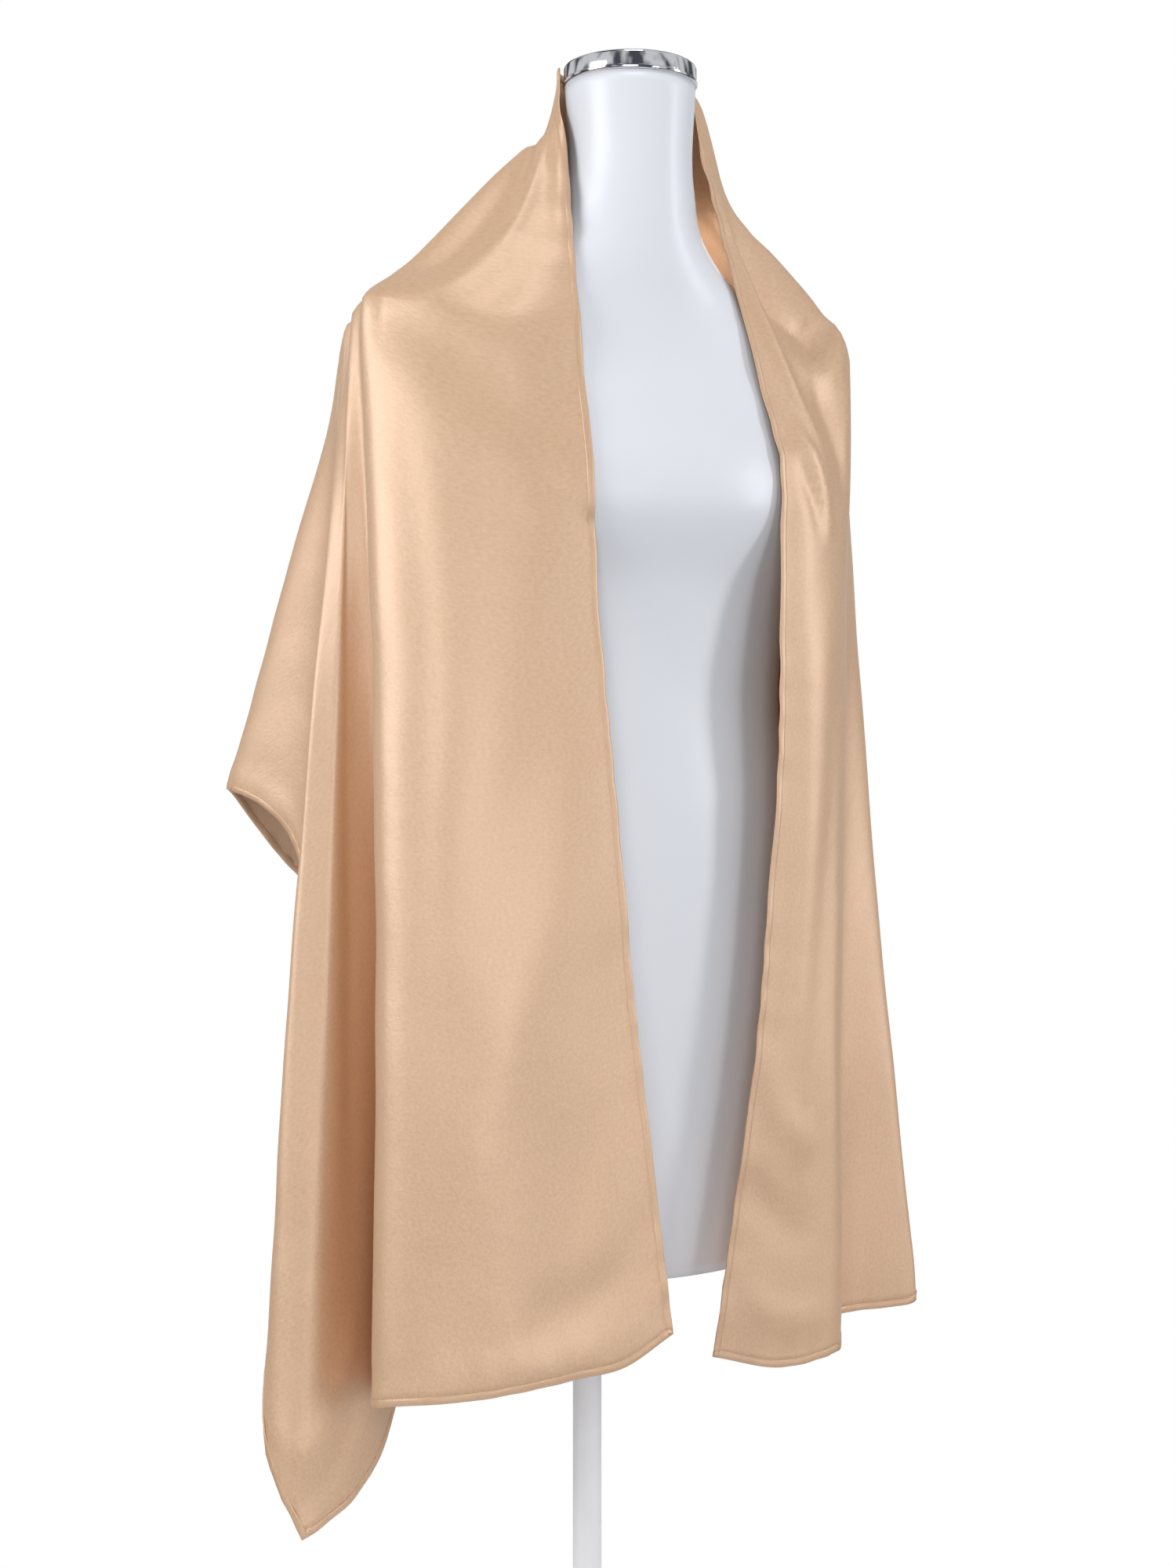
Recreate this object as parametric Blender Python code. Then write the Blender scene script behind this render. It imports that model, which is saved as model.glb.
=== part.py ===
"""Evening stole, one rectangle of satin, draped round the neck and over both shoulders of a dress form.

Metres, +Z up, the wearer's front towards -Y and the wearer's right hand at -X. The origin is the
centre of the stand's underside. The stole is one cloth, in three stretches: right front, back and
left front. It is worked out from fold lines that fan out from the neck, run over the shoulder and
hang to the hem, a row of LINES for each.
"""

import math

import bmesh
import bpy
import numpy as np

# Stand and neck
BASE_RADIUS = 0.150
BASE_HEIGHT = 0.012
BASE_EDGE = 0.004
POLE_RADIUS = 0.011
FLANGE_RADIUS = 0.032
FLANGE_HEIGHT = 0.005
FORM_BOTTOM = 0.480
NECK_TOP = 1.356
NECK_CENTRE_Y = -0.070
CAP_RADIUS = 0.050
CAP_HEIGHT = 0.015
CAP_EDGE = 0.0015
GAP = 0.0003
BASE_SIDES = 48
POLE_SIDES = 24
CAP_SIDES = 40

# Cloth
WALL = 0.0016
CLEAR_OF_FORM = 0.0010
SOFTEN_CONTACT = 0.0012
CONTACT_REACH = 0.02
CONTACT_PASSES = 3
BELOW_FORM = 0.03
PROBE = 0.0001
BEND_SAMPLES = 15
COLUMN_WIDTH = 0.025
YOKE_ROWS = (0.0, 0.08, 0.19, 0.32, 0.46, 0.60, 0.73, 0.85, 0.94)
CHEST_ROWS = 10
HANGING_ROWS = 9
CHEST_END = 1.75

# Dress form, a row for each level: height, half width, y of the widest line, depth in front of it and
# behind it, and how square the section is, 2 being an ellipse
FORM_COLUMNS = ("z", "half_width", "middle_y", "front", "back", "square")
FORM_LEVELS = (
    ("bottom", 0.480, 0.146, 0.000, 0.112, 0.104, 2.1),
    ("thigh", 0.600, 0.162, 0.000, 0.115, 0.114, 2.1),
    ("hip", 0.720, 0.170, 0.000, 0.117, 0.122, 2.1),
    ("high_hip", 0.820, 0.162, -0.005, 0.112, 0.110, 2.1),
    ("waist", 0.915, 0.151, -0.012, 0.099, 0.094, 2.1),
    ("ribs", 0.985, 0.155, -0.018, 0.103, 0.096, 2.2),
    ("bust", 1.050, 0.162, -0.022, 0.120, 0.102, 2.5),
    ("chest", 1.110, 0.172, -0.026, 0.103, 0.103, 2.4),
    ("armhole", 1.148, 0.180, -0.030, 0.088, 0.094, 2.2),
    ("shoulder_end", 1.172, 0.168, -0.034, 0.080, 0.082, 2.1),
    ("shoulder", 1.192, 0.134, -0.040, 0.073, 0.070, 2.0),
    ("slope", 1.212, 0.098, -0.048, 0.066, 0.060, 2.0),
    ("neck_base", 1.240, 0.063, -0.060, 0.055, 0.052, 2.0),
    ("neck", 1.280, 0.0485, -0.068, 0.0485, 0.0485, 2.0),
    ("neck_top", 1.356, 0.0485, -0.070, 0.0485, 0.0485, 2.0),
)
FORM_SIDES = 40
FORM_RINGS = 34

# Fold lines from the right front edge, round the back, to the left front edge: the bearing at the
# neck in degrees from the right side backwards, the point where the line starts to hang, its place
# halfway down, and its end at the hem
LINE_COLUMNS = (
    "bearing", "hang_x", "hang_y", "hang_z", "half_x", "half_y", "hem_x", "hem_y", "hem_z",
)
LINES = (
    ("right_edge", 22, -0.066, -0.116, 1.175, -0.057, -0.152, -0.029, -0.187, 0.460),
    ("right_edge_side", 24.5, -0.087, -0.118, 1.174, -0.080, -0.155, -0.062, -0.184, 0.441),
    ("right_panel_near", 27, -0.112, -0.116, 1.172, -0.108, -0.151, -0.095, -0.176, 0.434),
    ("right_panel_far", 32, -0.160, -0.090, 1.178, -0.160, -0.134, -0.156, -0.150, 0.421),
    ("right_fold", 38, -0.197, -0.053, 1.190, -0.2025, -0.094, -0.212, -0.104, 0.411),
    ("right_valley", 43, -0.204, -0.036, 1.188, -0.178, -0.016, -0.157, 0.010, 0.371),
    ("right_lap", 45.5, -0.206, -0.028, 1.184, -0.202, -0.014, -0.188, -0.016, 0.334),
    ("right_corner", 48, -0.202, -0.020, 1.183, -0.222, -0.022, -0.247, -0.042, 0.307),
    ("right_pleat", 52, -0.198, -0.010, 1.181, -0.242, -0.014, -0.2640, -0.014, 0.368),
    ("right_behind", 56, -0.194, 0.000, 1.178, -0.217, 0.008, -0.238, 0.022, 0.500),
    ("right_tuck", 60, -0.196, 0.010, 1.178, -0.199, 0.034, -0.205, 0.060, 0.740),
    ("right_drape", 66, -0.187, 0.022, 1.174, -0.210, 0.078, -0.243, 0.136, 0.836),
    ("right_blade", 74, -0.156, 0.046, 1.170, -0.166, 0.110, -0.177, 0.165, 0.769),
    ("right_flute", 84, -0.094, 0.060, 1.168, -0.098, 0.094, -0.100, 0.122, 0.716),
    ("centre_back", 96, -0.004, 0.066, 1.168, -0.002, 0.118, 0.002, 0.164, 0.690),
    ("left_flute", 111, 0.090, 0.060, 1.168, 0.098, 0.096, 0.096, 0.124, 0.700),
    ("left_blade", 124, 0.152, 0.044, 1.174, 0.164, 0.104, 0.164, 0.150, 0.742),
    ("left_drape", 134, 0.194, 0.022, 1.180, 0.214, 0.074, 0.226, 0.112, 0.780),
    ("left_tuck", 142, 0.204, 0.008, 1.184, 0.198, 0.040, 0.204, 0.058, 0.690),
    ("left_behind", 150, 0.204, -0.004, 1.182, 0.214, 0.016, 0.228, 0.036, 0.565),
    ("left_corner", 157, 0.205, -0.016, 1.180, 0.214, -0.012, 0.216, 0.000, 0.470),
    ("left_pleat", 163, 0.206, -0.033, 1.180, 0.222, -0.052, 0.246, -0.086, 0.437),
    ("left_valley", 168, 0.199, -0.064, 1.178, 0.180, -0.074, 0.178, -0.080, 0.430),
    ("left_fold", 172, 0.160, -0.110, 1.085, 0.141, -0.129, 0.129, -0.147, 0.420),
    ("left_panel", 175, 0.122, -0.130, 1.085, 0.114, -0.138, 0.080, -0.150, 0.416),
    ("left_edge", 178, 0.092, -0.133, 1.080, 0.086, -0.138, 0.028, -0.143, 0.428),
)
CORNERS = ("right_corner", "left_corner")

# The edge round the neck, from the right front edge backwards to the left one, and how much of each
# shoulder's sag the cloth has there
NECK_COLUMNS = ("bearing", "radius", "height", "right_share", "left_share")
NECK = (
    (22, 0.0508, 1.370, 0.35, 0.00),
    (34, 0.0515, 1.371, 0.90, 0.00),
    (52, 0.0530, 1.372, 1.00, 0.00),
    (75, 0.0550, 1.371, 0.80, 0.00),
    (98, 0.0570, 1.370, 0.40, 0.30),
    (126, 0.0590, 1.369, 0.00, 0.80),
    (152, 0.0600, 1.367, 0.00, 1.00),
    (168, 0.0590, 1.366, 0.10, 0.90),
    (178, 0.0525, 1.366, 0.75, 0.10),
)

# How far the cloth sags below a straight line from the neck (0) to where it starts to hang (1)
SAG_AT = (0.0, 0.07, 0.20, 0.35, 0.50, 0.65, 0.80, 0.90, 1.0)
RIGHT_SAG = (0.0, 0.030, 0.026, 0.022, 0.021, 0.020, 0.017, 0.011, 0.0)
LEFT_SAG = (0.0, -0.004, 0.037, 0.037, 0.024, 0.014, 0.006, 0.001, 0.0)
STRETCHES = (
    ("stole_right_front", "right_edge", "right_behind"),
    ("stole_back", "right_behind", "left_behind"),
    ("stole_left_front", "left_behind", "left_edge"),
)

# How far along the line each bend is rounded: from the neck (0) over the shoulder (1) to the hem (3)
ROUND_AT = (0.0, 0.5, 1.0, 1.5, 2.0, 2.5, 3.0)
ROUND_BY = (0.0, 0.20, 0.09, 0.35, 0.60, 0.45, 0.0)


def smooth(places, values, at, corners=()):
    """Values read from a smooth curve through a table, with one-sided slopes at the corner rows."""
    places = np.asarray(places, float)
    values = np.asarray(values, float)
    steps = np.diff(places)
    slopes = np.diff(values) / steps
    before = np.concatenate([slopes[:1], slopes])
    after = np.concatenate([slopes, slopes[-1:]])
    ahead = np.concatenate([steps, steps[-1:]])
    behind = np.concatenate([steps[:1], steps])
    middle = (before * ahead + after * behind) / (ahead + behind)
    leave = middle.copy()
    arrive = middle.copy()
    for row in corners:
        leave[row] = after[row]
        arrive[row] = before[row]
    row = np.clip(np.searchsorted(places, at, side="right") - 1, 0, len(steps) - 1)
    part = (at - places[row]) / steps[row]
    rest = 1 - part
    return (
        values[row] * rest**2 * (1 + 2 * part)
        + values[row + 1] * part**2 * (1 + 2 * rest)
        + leave[row] * steps[row] * part * rest**2
        - arrive[row + 1] * steps[row] * part**2 * rest
    )


def form_section(z):
    """Half width, middle, depths and squareness of the form at each height."""
    heights = [level[1] for level in FORM_LEVELS]
    z = np.clip(z, heights[0], heights[-1])
    return {
        name: smooth(heights, [level[2 + i] for level in FORM_LEVELS], z)
        for i, name in enumerate(FORM_COLUMNS[1:])
    }


def form_ratio(points):
    """1 on the form's surface, less inside it and more outside."""
    section = form_section(points[..., 2])
    y = points[..., 1] - section["middle_y"]
    depth = np.where(y < 0, section["front"], section["back"])
    power = section["square"]
    aside = np.abs(points[..., 0] / section["half_width"]) ** power
    return (aside + np.abs(y / depth) ** power) ** (1 / power)


def distance_and_way(points):
    """Roughly the distance to the form, and the way straight out of it."""
    small = PROBE
    ratio = form_ratio(points)
    slope = np.stack(
        [
            (form_ratio(points + small * axis) - form_ratio(points - small * axis)) / (2 * small)
            for axis in np.eye(3)
        ],
        axis=-1,
    )
    steepness = np.linalg.norm(slope, axis=-1)
    return (ratio - 1) / steepness, slope / steepness[..., None]


def kept_clear(points):
    """Cloth points moved softly out of the form, where they would touch it."""
    for _ in range(CONTACT_PASSES):
        distance, way = distance_and_way(points)
        short = CLEAR_OF_FORM - distance
        push = (short + np.sqrt(short**2 + SOFTEN_CONTACT**2)) / 2
        beside_form = np.clip((points[..., 2] - FORM_BOTTOM) / BELOW_FORM + 1, 0, 1)
        near = np.clip(1 - distance / CONTACT_REACH, 0, 1)
        points = points + way * (push * beside_form * near)[..., None]
    return points


def line_column(name):
    return np.array([line[1 + LINE_COLUMNS.index(name)] for line in LINES], float)


def line_places():
    """Where each fold line lies across the cloth, from the distances between the lines."""
    across = []
    for level in ("half", "hem"):
        x, y = line_column(level + "_x"), line_column(level + "_y")
        across.append(np.hypot(np.diff(x), np.diff(y)))
    return np.concatenate([[0], np.cumsum((across[0] + across[1]) / 2)])


def bearings(places_across):
    """Bearing at the neck of each place across the cloth, in degrees."""
    return smooth(line_places(), line_column("bearing"), places_across)


def at_neck(size, bearing):
    """A size from the table of the neck edge, at each bearing."""
    column = NECK_COLUMNS.index(size)
    return smooth([row[0] for row in NECK], [row[column] for row in NECK], bearing)


def sags(bearing, at):
    """How far each line sags on its way from the neck to where it hangs."""
    in_yoke = np.clip(at, 0, 1)
    right = np.outer(at_neck("right_share", bearing), smooth(SAG_AT, RIGHT_SAG, in_yoke))
    left = np.outer(at_neck("left_share", bearing), smooth(SAG_AT, LEFT_SAG, in_yoke))
    return right + left


def guide_points(places_across):
    """The neck, hanging, halfway and hem points at places across the cloth."""
    places = line_places()
    corners = [i for i, line in enumerate(LINES) if line[0] in CORNERS]

    def read(name, sharp=()):
        return smooth(places, line_column(name), places_across, sharp)

    bearing = bearings(places_across)
    radius = at_neck("radius", bearing)
    neck = (
        -radius * np.cos(np.radians(bearing)),
        NECK_CENTRE_Y + radius * np.sin(np.radians(bearing)),
        at_neck("height", bearing),
    )
    hang = (read("hang_x"), read("hang_y"), read("hang_z"))
    hem = (read("hem_x"), read("hem_y"), read("hem_z", corners))
    half = (read("half_x"), read("half_y"), (hang[2] + hem[2]) / 2)
    return np.stack([np.stack(point, axis=-1) for point in (neck, hang, half, hem)], axis=1)


def along_line(guides, at):
    """Points down the lines, with the bend at each guide point rounded."""
    reach = np.interp(at, ROUND_AT, ROUND_BY)
    total = np.zeros((len(guides), len(at), 3))
    offsets = np.linspace(-1, 1, BEND_SAMPLES)
    for offset in offsets:
        place = np.clip(at + offset * reach, 0, 3)
        row = np.clip(place.astype(int), 0, 2)
        part = (place - row)[None, :, None]
        total += guides[:, row] * (1 - part) + guides[:, row + 1] * part
    return total / len(offsets)


def draped(places_across, at):
    """The cloth's points before it has a wall, kept clear of the form."""
    points = along_line(guide_points(places_across), at)
    points[..., 2] -= sags(bearings(places_across), at)
    return kept_clear(points)


def row_places():
    """Places of the rows down the cloth, closest together over the bust and the shoulder blades."""
    chest = np.linspace(1, CHEST_END, CHEST_ROWS + 1)
    hanging = np.linspace(CHEST_END, 3, HANGING_ROWS + 1)[1:]
    return np.concatenate([YOKE_ROWS, chest, hanging])


def column_places():
    """Places of the columns across the cloth, and the column that lies on each fold line."""
    places = line_places()
    found = [places[0]]
    on_line = [0]
    for start, end in zip(places, places[1:]):
        columns = max(1, round((end - start) / COLUMN_WIDTH))
        found.extend(np.linspace(start, end, columns + 1)[1:])
        on_line.append(len(found) - 1)
    return np.array(found), on_line


def outward(points):
    """The way out of the cloth at each of its points, away from the form."""
    across, down = np.gradient(points, axis=(0, 1))
    normals = np.cross(across, down)
    return normals / np.linalg.norm(normals, axis=-1, keepdims=True)


def cloth_faces():
    """Inner and outer points of the whole cloth, and the column on each fold line."""
    places, on_line = column_places()
    inner = draped(places, row_places())
    return inner, inner + WALL * outward(inner), on_line


def material(name, colour, roughness, metallic=0.0):
    made = bpy.data.materials.new(name)
    made.use_nodes = True
    shader = made.node_tree.nodes["Principled BSDF"]
    shader.inputs["Base Color"].default_value = (*colour, 1)
    shader.inputs["Roughness"].default_value = roughness
    shader.inputs["Metallic"].default_value = metallic
    made.diffuse_color = (*colour, 1)
    return made


def add_object(name, bm, finish):
    mesh = bpy.data.meshes.new(name)
    bm.to_mesh(mesh)
    bm.free()
    mesh.materials.append(finish)
    mesh.shade_smooth()
    obj = bpy.data.objects.new(name, mesh)
    bpy.context.collection.objects.link(obj)
    return obj


def drawn_in(points, seams):
    """A stretch's points, with each seam edge half a gap away from the next stretch."""
    points = points.copy()
    for edge, next_in in seams:
        away = points[next_in] - points[edge]
        points[edge] += away / np.linalg.norm(away, axis=-1, keepdims=True) * GAP / 2
    return points


def make_stretch(name, inner, outer, seams, finish):
    """One stretch of the stole as a closed wall between its inner and outer points."""
    inner, outer = drawn_in(inner, seams), drawn_in(outer, seams)
    columns, rows = inner.shape[:2]
    inner, outer = inner.reshape(-1, 3), outer.reshape(-1, 3)
    bm = bmesh.new()
    bmesh.ops.create_grid(bm, x_segments=columns - 1, y_segments=rows - 1, size=1)
    point = bm.verts.layers.int.new("point")
    for vert in bm.verts:
        column = round((vert.co.x + 1) / 2 * (columns - 1))
        row = round((vert.co.y + 1) / 2 * (rows - 1))
        vert[point] = column * rows + row
        vert.co = inner[vert[point]]
    made = bmesh.ops.extrude_face_region(bm, geom=bm.faces[:], use_keep_orig=True)["geom"]
    for item in made:
        if isinstance(item, bmesh.types.BMVert):
            item.co = outer[item[point]]
    bmesh.ops.recalc_face_normals(bm, faces=bm.faces)
    return add_object(name, bm, finish)


def make_stole(finish):
    inner, outer, on_line = cloth_faces()
    names = [line[0] for line in LINES]
    for name, first, last in STRETCHES:
        start, end = on_line[names.index(first)], on_line[names.index(last)]
        seams = []
        if start > 0:
            seams.append((0, 1))
        if end < len(inner) - 1:
            seams.append((-1, -2))
        make_stretch(name, inner[start : end + 1], outer[start : end + 1], seams, finish)


def form_ring(z, turns):
    """Points round the form at one height, at the given turns from the left side forwards."""
    section = {name: float(value) for name, value in form_section(z).items()}
    ring = []
    for turn in turns:
        x, y = math.cos(turn), math.sin(turn)
        depth = section["front"] if y < 0 else section["back"]
        power = 2 / section["square"]
        ring.append((
            math.copysign(section["half_width"] * abs(x) ** power, x),
            section["middle_y"] + math.copysign(depth * abs(y) ** power, y),
            z,
        ))
    return ring


def make_form(finish):
    """The limbless form: rings of a squared ellipse that changes with the height, closed at both ends."""
    heights = [level[1] for level in FORM_LEVELS]
    levels = smooth(np.linspace(0, 1, len(heights)), heights, np.linspace(0, 1, FORM_RINGS))
    turns = [2 * math.pi * side / FORM_SIDES for side in range(FORM_SIDES)]
    bm = bmesh.new()
    around, up = FORM_SIDES, FORM_RINGS
    bmesh.ops.create_grid(bm, x_segments=around, y_segments=up - 1, size=1)
    rings = [form_ring(float(z), turns) for z in levels]
    for vert in bm.verts:
        side = round((vert.co.x + 1) / 2 * around) % around
        level = round((vert.co.y + 1) / 2 * (up - 1))
        vert.co = rings[level][side]
    bmesh.ops.remove_doubles(bm, verts=bm.verts, dist=1e-6)
    bmesh.ops.holes_fill(bm, edges=[edge for edge in bm.edges if edge.is_boundary], sides=0)
    bmesh.ops.recalc_face_normals(bm, faces=bm.faces)
    return add_object("dress_form", bm, finish)


def make_turned(name, profile, sides, centre_y, finish):
    """A round piece turned about a vertical axis from its outline, listed from the bottom up."""
    bm = bmesh.new()
    verts = [bm.verts.new((radius, 0, z)) for radius, z in profile]
    for lower, upper in zip(verts, verts[1:]):
        bm.edges.new((lower, upper))
    bmesh.ops.spin(
        bm, geom=bm.verts[:] + bm.edges[:], cent=(0, 0, 0), axis=(0, 0, 1),
        angle=2 * math.pi, steps=sides, use_merge=True,
    )
    bmesh.ops.remove_doubles(bm, verts=bm.verts, dist=1e-5)
    bmesh.ops.translate(bm, verts=bm.verts, vec=(0, centre_y, 0))
    bmesh.ops.recalc_face_normals(bm, faces=bm.faces)
    obj = add_object(name, bm, finish)
    obj.data.set_sharp_from_angle(angle=math.radians(35))
    return obj


def make_cap(finish):
    bottom, top = NECK_TOP + GAP, NECK_TOP + CAP_HEIGHT
    profile = (
        (0, bottom), (CAP_RADIUS - CAP_EDGE, bottom), (CAP_RADIUS, bottom + CAP_EDGE),
        (CAP_RADIUS, top - CAP_EDGE), (CAP_RADIUS - CAP_EDGE, top), (0, top),
    )
    make_turned("neck_cap", profile, CAP_SIDES, NECK_CENTRE_Y, finish)


def make_stand(finish):
    base_top = BASE_HEIGHT
    base = (
        (0, 0), (BASE_RADIUS - BASE_EDGE / 2, 0), (BASE_RADIUS, BASE_EDGE / 2),
        (BASE_RADIUS, base_top - BASE_EDGE), (BASE_RADIUS - BASE_EDGE, base_top), (0, base_top),
    )
    make_turned("stand_base", base, BASE_SIDES, 0, finish)
    low, high = base_top + GAP, FORM_BOTTOM - GAP
    pole = (
        (0, low), (FLANGE_RADIUS, low), (FLANGE_RADIUS, low + FLANGE_HEIGHT),
        (POLE_RADIUS, low + FLANGE_HEIGHT), (POLE_RADIUS, high - FLANGE_HEIGHT),
        (FLANGE_RADIUS, high - FLANGE_HEIGHT), (FLANGE_RADIUS, high), (0, high),
    )
    make_turned("stand_pole", pole, POLE_SIDES, 0, finish)


def main():
    for obj in list(bpy.data.objects):
        bpy.data.objects.remove(obj, do_unlink=True)
    satin = material("satin", (0.67, 0.46, 0.31), 0.35)
    shell = material("form_shell", (0.72, 0.75, 0.83), 0.30)
    chrome = material("chrome", (0.80, 0.80, 0.82), 0.08, 1.0)
    painted = material("stand_paint", (0.85, 0.85, 0.87), 0.35)
    make_stole(satin)
    make_form(shell)
    make_cap(chrome)
    make_stand(painted)


main()
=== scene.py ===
"""Satin evening stole over the shoulders of a white dress form, dressed for its photograph.

Metres, in the model's frame: the form faces -Y and its right hand side is at -X. The stole is
worked out from the same fold lines as its solids, then gets its soft creases, its turned hem and
its stitches.
"""

import math

import bmesh
import bpy
import numpy as np
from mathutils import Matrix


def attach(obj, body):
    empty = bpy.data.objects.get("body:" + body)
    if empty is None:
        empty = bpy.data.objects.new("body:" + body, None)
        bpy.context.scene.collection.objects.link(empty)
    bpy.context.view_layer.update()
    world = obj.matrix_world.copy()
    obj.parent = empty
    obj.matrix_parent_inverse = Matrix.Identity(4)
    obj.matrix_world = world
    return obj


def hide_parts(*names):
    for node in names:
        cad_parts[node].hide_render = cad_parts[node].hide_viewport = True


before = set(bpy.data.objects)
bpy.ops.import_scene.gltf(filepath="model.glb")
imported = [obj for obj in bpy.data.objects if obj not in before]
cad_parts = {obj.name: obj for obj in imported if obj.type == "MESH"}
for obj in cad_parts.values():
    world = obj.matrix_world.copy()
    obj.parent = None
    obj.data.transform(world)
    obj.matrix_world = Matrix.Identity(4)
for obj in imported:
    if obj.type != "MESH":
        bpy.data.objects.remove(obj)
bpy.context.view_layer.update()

# Stand and neck
BASE_RADIUS = 0.150
BASE_HEIGHT = 0.012
POLE_RADIUS = 0.011
FLANGE_RADIUS = 0.032
FLANGE_HEIGHT = 0.005
FORM_BOTTOM = 0.480
NECK_TOP = 1.356
NECK_CENTRE_Y = -0.070
CAP_RADIUS = 0.050
CAP_HEIGHT = 0.015

# Cloth
CLOTH_THICKNESS = 0.0005
CLOTH_INSIDE_WALL = 0.0005
CLEAR_OF_FORM = 0.0012
SOFTEN_CONTACT = 0.0012
CONTACT_REACH = 0.02
CONTACT_PASSES = 3
BELOW_FORM = 0.03
PROBE = 0.0001
BEND_SAMPLES = 15
CLOTH_COLUMNS = 330
CLOTH_ROWS = 118
CUT_LENGTH = 2.00
CUT_WIDTH = 0.60

# Turned hem: its girth in widths, and its section as shares of its width and its thickness, from
# the edge inwards and back
HEM_WIDTH = 0.0052
HEM_THICKNESS = 0.0016
HEM_STEP = 0.006
HEM_FEWEST_STEPS = 24
HEM_GIRTH = 2.2
HEM_SECTION = (
    (0.10, -0.42), (0.0, 0.0), (0.10, 0.42), (0.40, 0.50), (0.75, 0.50), (1.0, 0.34),
    (1.04, 0.0), (1.0, -0.34), (0.75, -0.50), (0.40, -0.50),
)

# Stitches: how far in from the edge and how far up the hem they lie, as shares of its width and
# its thickness, and how much each one arches and stands off
STITCH_PITCH = 0.0024
STITCH_LENGTH = 0.0017
STITCH_WIDTH = 0.0004
STITCH_LINE = 0.90
STITCH_LEVEL = 0.42
STITCH_ARCH = 0.0002
STITCH_OFF = 0.00004

# Waves, a row for each: its height, its turns along and across the flat cut in radians a metre,
# how far it swings to and fro, the swing's own turns along and across, and where the swing and the
# wave start. They are the cloth's own unevenness, the puckers that the hem's stitching draws in,
# which die away from the edge, and how the hem is plump in places, as a share of its thickness.
SLOW_WAVES = (
    (0.00030, 29, 0, 4.0, 0, 11, 1.0, 0.6),
    (0.00022, 0, 37, 3.0, 13, 0, 0.0, 2.1),
    (0.00018, 52, -31, 2.0, 0, 19, 0.0, 0.0),
)
PUCKERS = (
    (0.0008, 142, 0, 2.6, 33, 0, 0.7, 0.0),
    (0.0008, 0, 131, 2.2, 0, 29, 1.9, 0.0),
)
PUCKER_REACH = 0.018
HEM_PLUMP = (
    (0.16, 760, 0, 2.0, 190, 0, 0.0, 0.0),
    (0.10, 411, 0, 0.0, 0, 0, 0.0, 0.0),
)

# Colours of the satin, and the settings that its cloth and its hem share
SATIN_DEEP = (0.600, 0.350, 0.180, 1)
SATIN_PALE = (0.810, 0.535, 0.340, 1)
HEM_PALE = (0.760, 0.490, 0.305, 1)
SATIN_SHEEN = {
    "Metallic": 0.20, "IOR": 1.8, "Specular_IOR_Level": 0.9, "Sheen_Weight": 0.10,
    "Sheen_Roughness": 0.35, "Sheen_Tint": (1.0, 0.90, 0.78, 1),
}

# Outlines of the turned pieces from the bottom up, a row for each point: how far inside the full
# radius it is, whether its height counts from the foot (0) or from the top (1), and that height.
# The gap keeps each piece off its neighbour.
CAP_OUTLINE = (
    (0.0020, 0, 0.0), (0.0006, 0, 0.0004), (0.0, 0, 0.0012), (0.0, 0, 0.0024),
    (0.0007, 0, 0.0032), (0.0007, 1, -0.0024), (0.0012, 1, -0.0011), (0.0026, 1, -0.0003),
    (0.0055, 1, 0.0),
)
BASE_OUTLINE = (
    (0.002, 0, 0.0), (0.0, 0, 0.002), (0.0, 1, -0.004), (0.0012, 1, -0.0012), (0.004, 1, 0.0),
)
POLE_OUTLINE = (
    (0.0005, 0, 0.0), (0.0, 0, 0.0005), (0.0, 0, FLANGE_HEIGHT - 0.001),
    (0.001, 0, FLANGE_HEIGHT), (FLANGE_RADIUS - POLE_RADIUS - 0.003, 0, FLANGE_HEIGHT),
    (FLANGE_RADIUS - POLE_RADIUS, 0, FLANGE_HEIGHT + 0.003),
    (FLANGE_RADIUS - POLE_RADIUS, 1, -FLANGE_HEIGHT), (0.0, 1, -FLANGE_HEIGHT), (0.0, 1, 0.0),
)
GAP = 0.0003
CAP_SIDES = 128
BASE_SIDES = 160
POLE_SIDES = 64
SHARP_DEGREES = 40
WELD = 1e-6
WELD_HEM = 1e-7

# Camera of the photograph
CAMERA_PLACE = (-0.812, -1.595, 0.84)
CAMERA_DEGREES = (90, 0, -27)
CAMERA_LENS = 53.46
CAMERA_SENSOR = 36

# The room that the satin reflects: its strength, the scale of its bright and dark parts, and their
# places and colours on the ramp
SURROUND = 0.68
ROOM_SCALE = (2.6, 2.6, 0.7)
ROOM_TONES = ((0.44, (0.10, 0.11, 0.13, 1)), (0.56, (0.96, 0.98, 1.0, 1)))
FLOOR_RADIUS = 0.66
FLOOR_SIDES = 96

# Studio light, a row for each box: its name, place, what it faces, its width, its height and its
# watts. The small one stands for the light that comes through the thin satin behind the left front.
BOXES = (
    ("key_softbox", (-2.7, -0.3, 1.7), (0.0, 0.0, 0.8), 1.4, 1.5, 36),
    ("camera_fill", (-0.95, -1.90, 0.92), (0.0, 0.0, 1.05), 0.9, 0.9, 10),
    ("front_strip", (0.60, -2.2, 0.75), (0.1, -0.12, 0.68), 0.40, 1.1, 5),
    ("right_strip", (1.9, -1.3, 1.35), (0.1, -0.1, 0.98), 0.40, 1.3, 13),
    ("top_softbox", (-0.2, -0.7, 2.6), (0.0, -0.05, 1.2), 0.5, 0.5, 5),
    ("back_softbox", (0.4, 2.3, 1.5), (0.0, 0.0, 0.9), 0.8, 1.2, 16),
    ("through_satin", (0.105, -0.055, 1.25), (0.112, 0.0, 1.262), 0.03, 0.02, 0.035),
)

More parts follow.
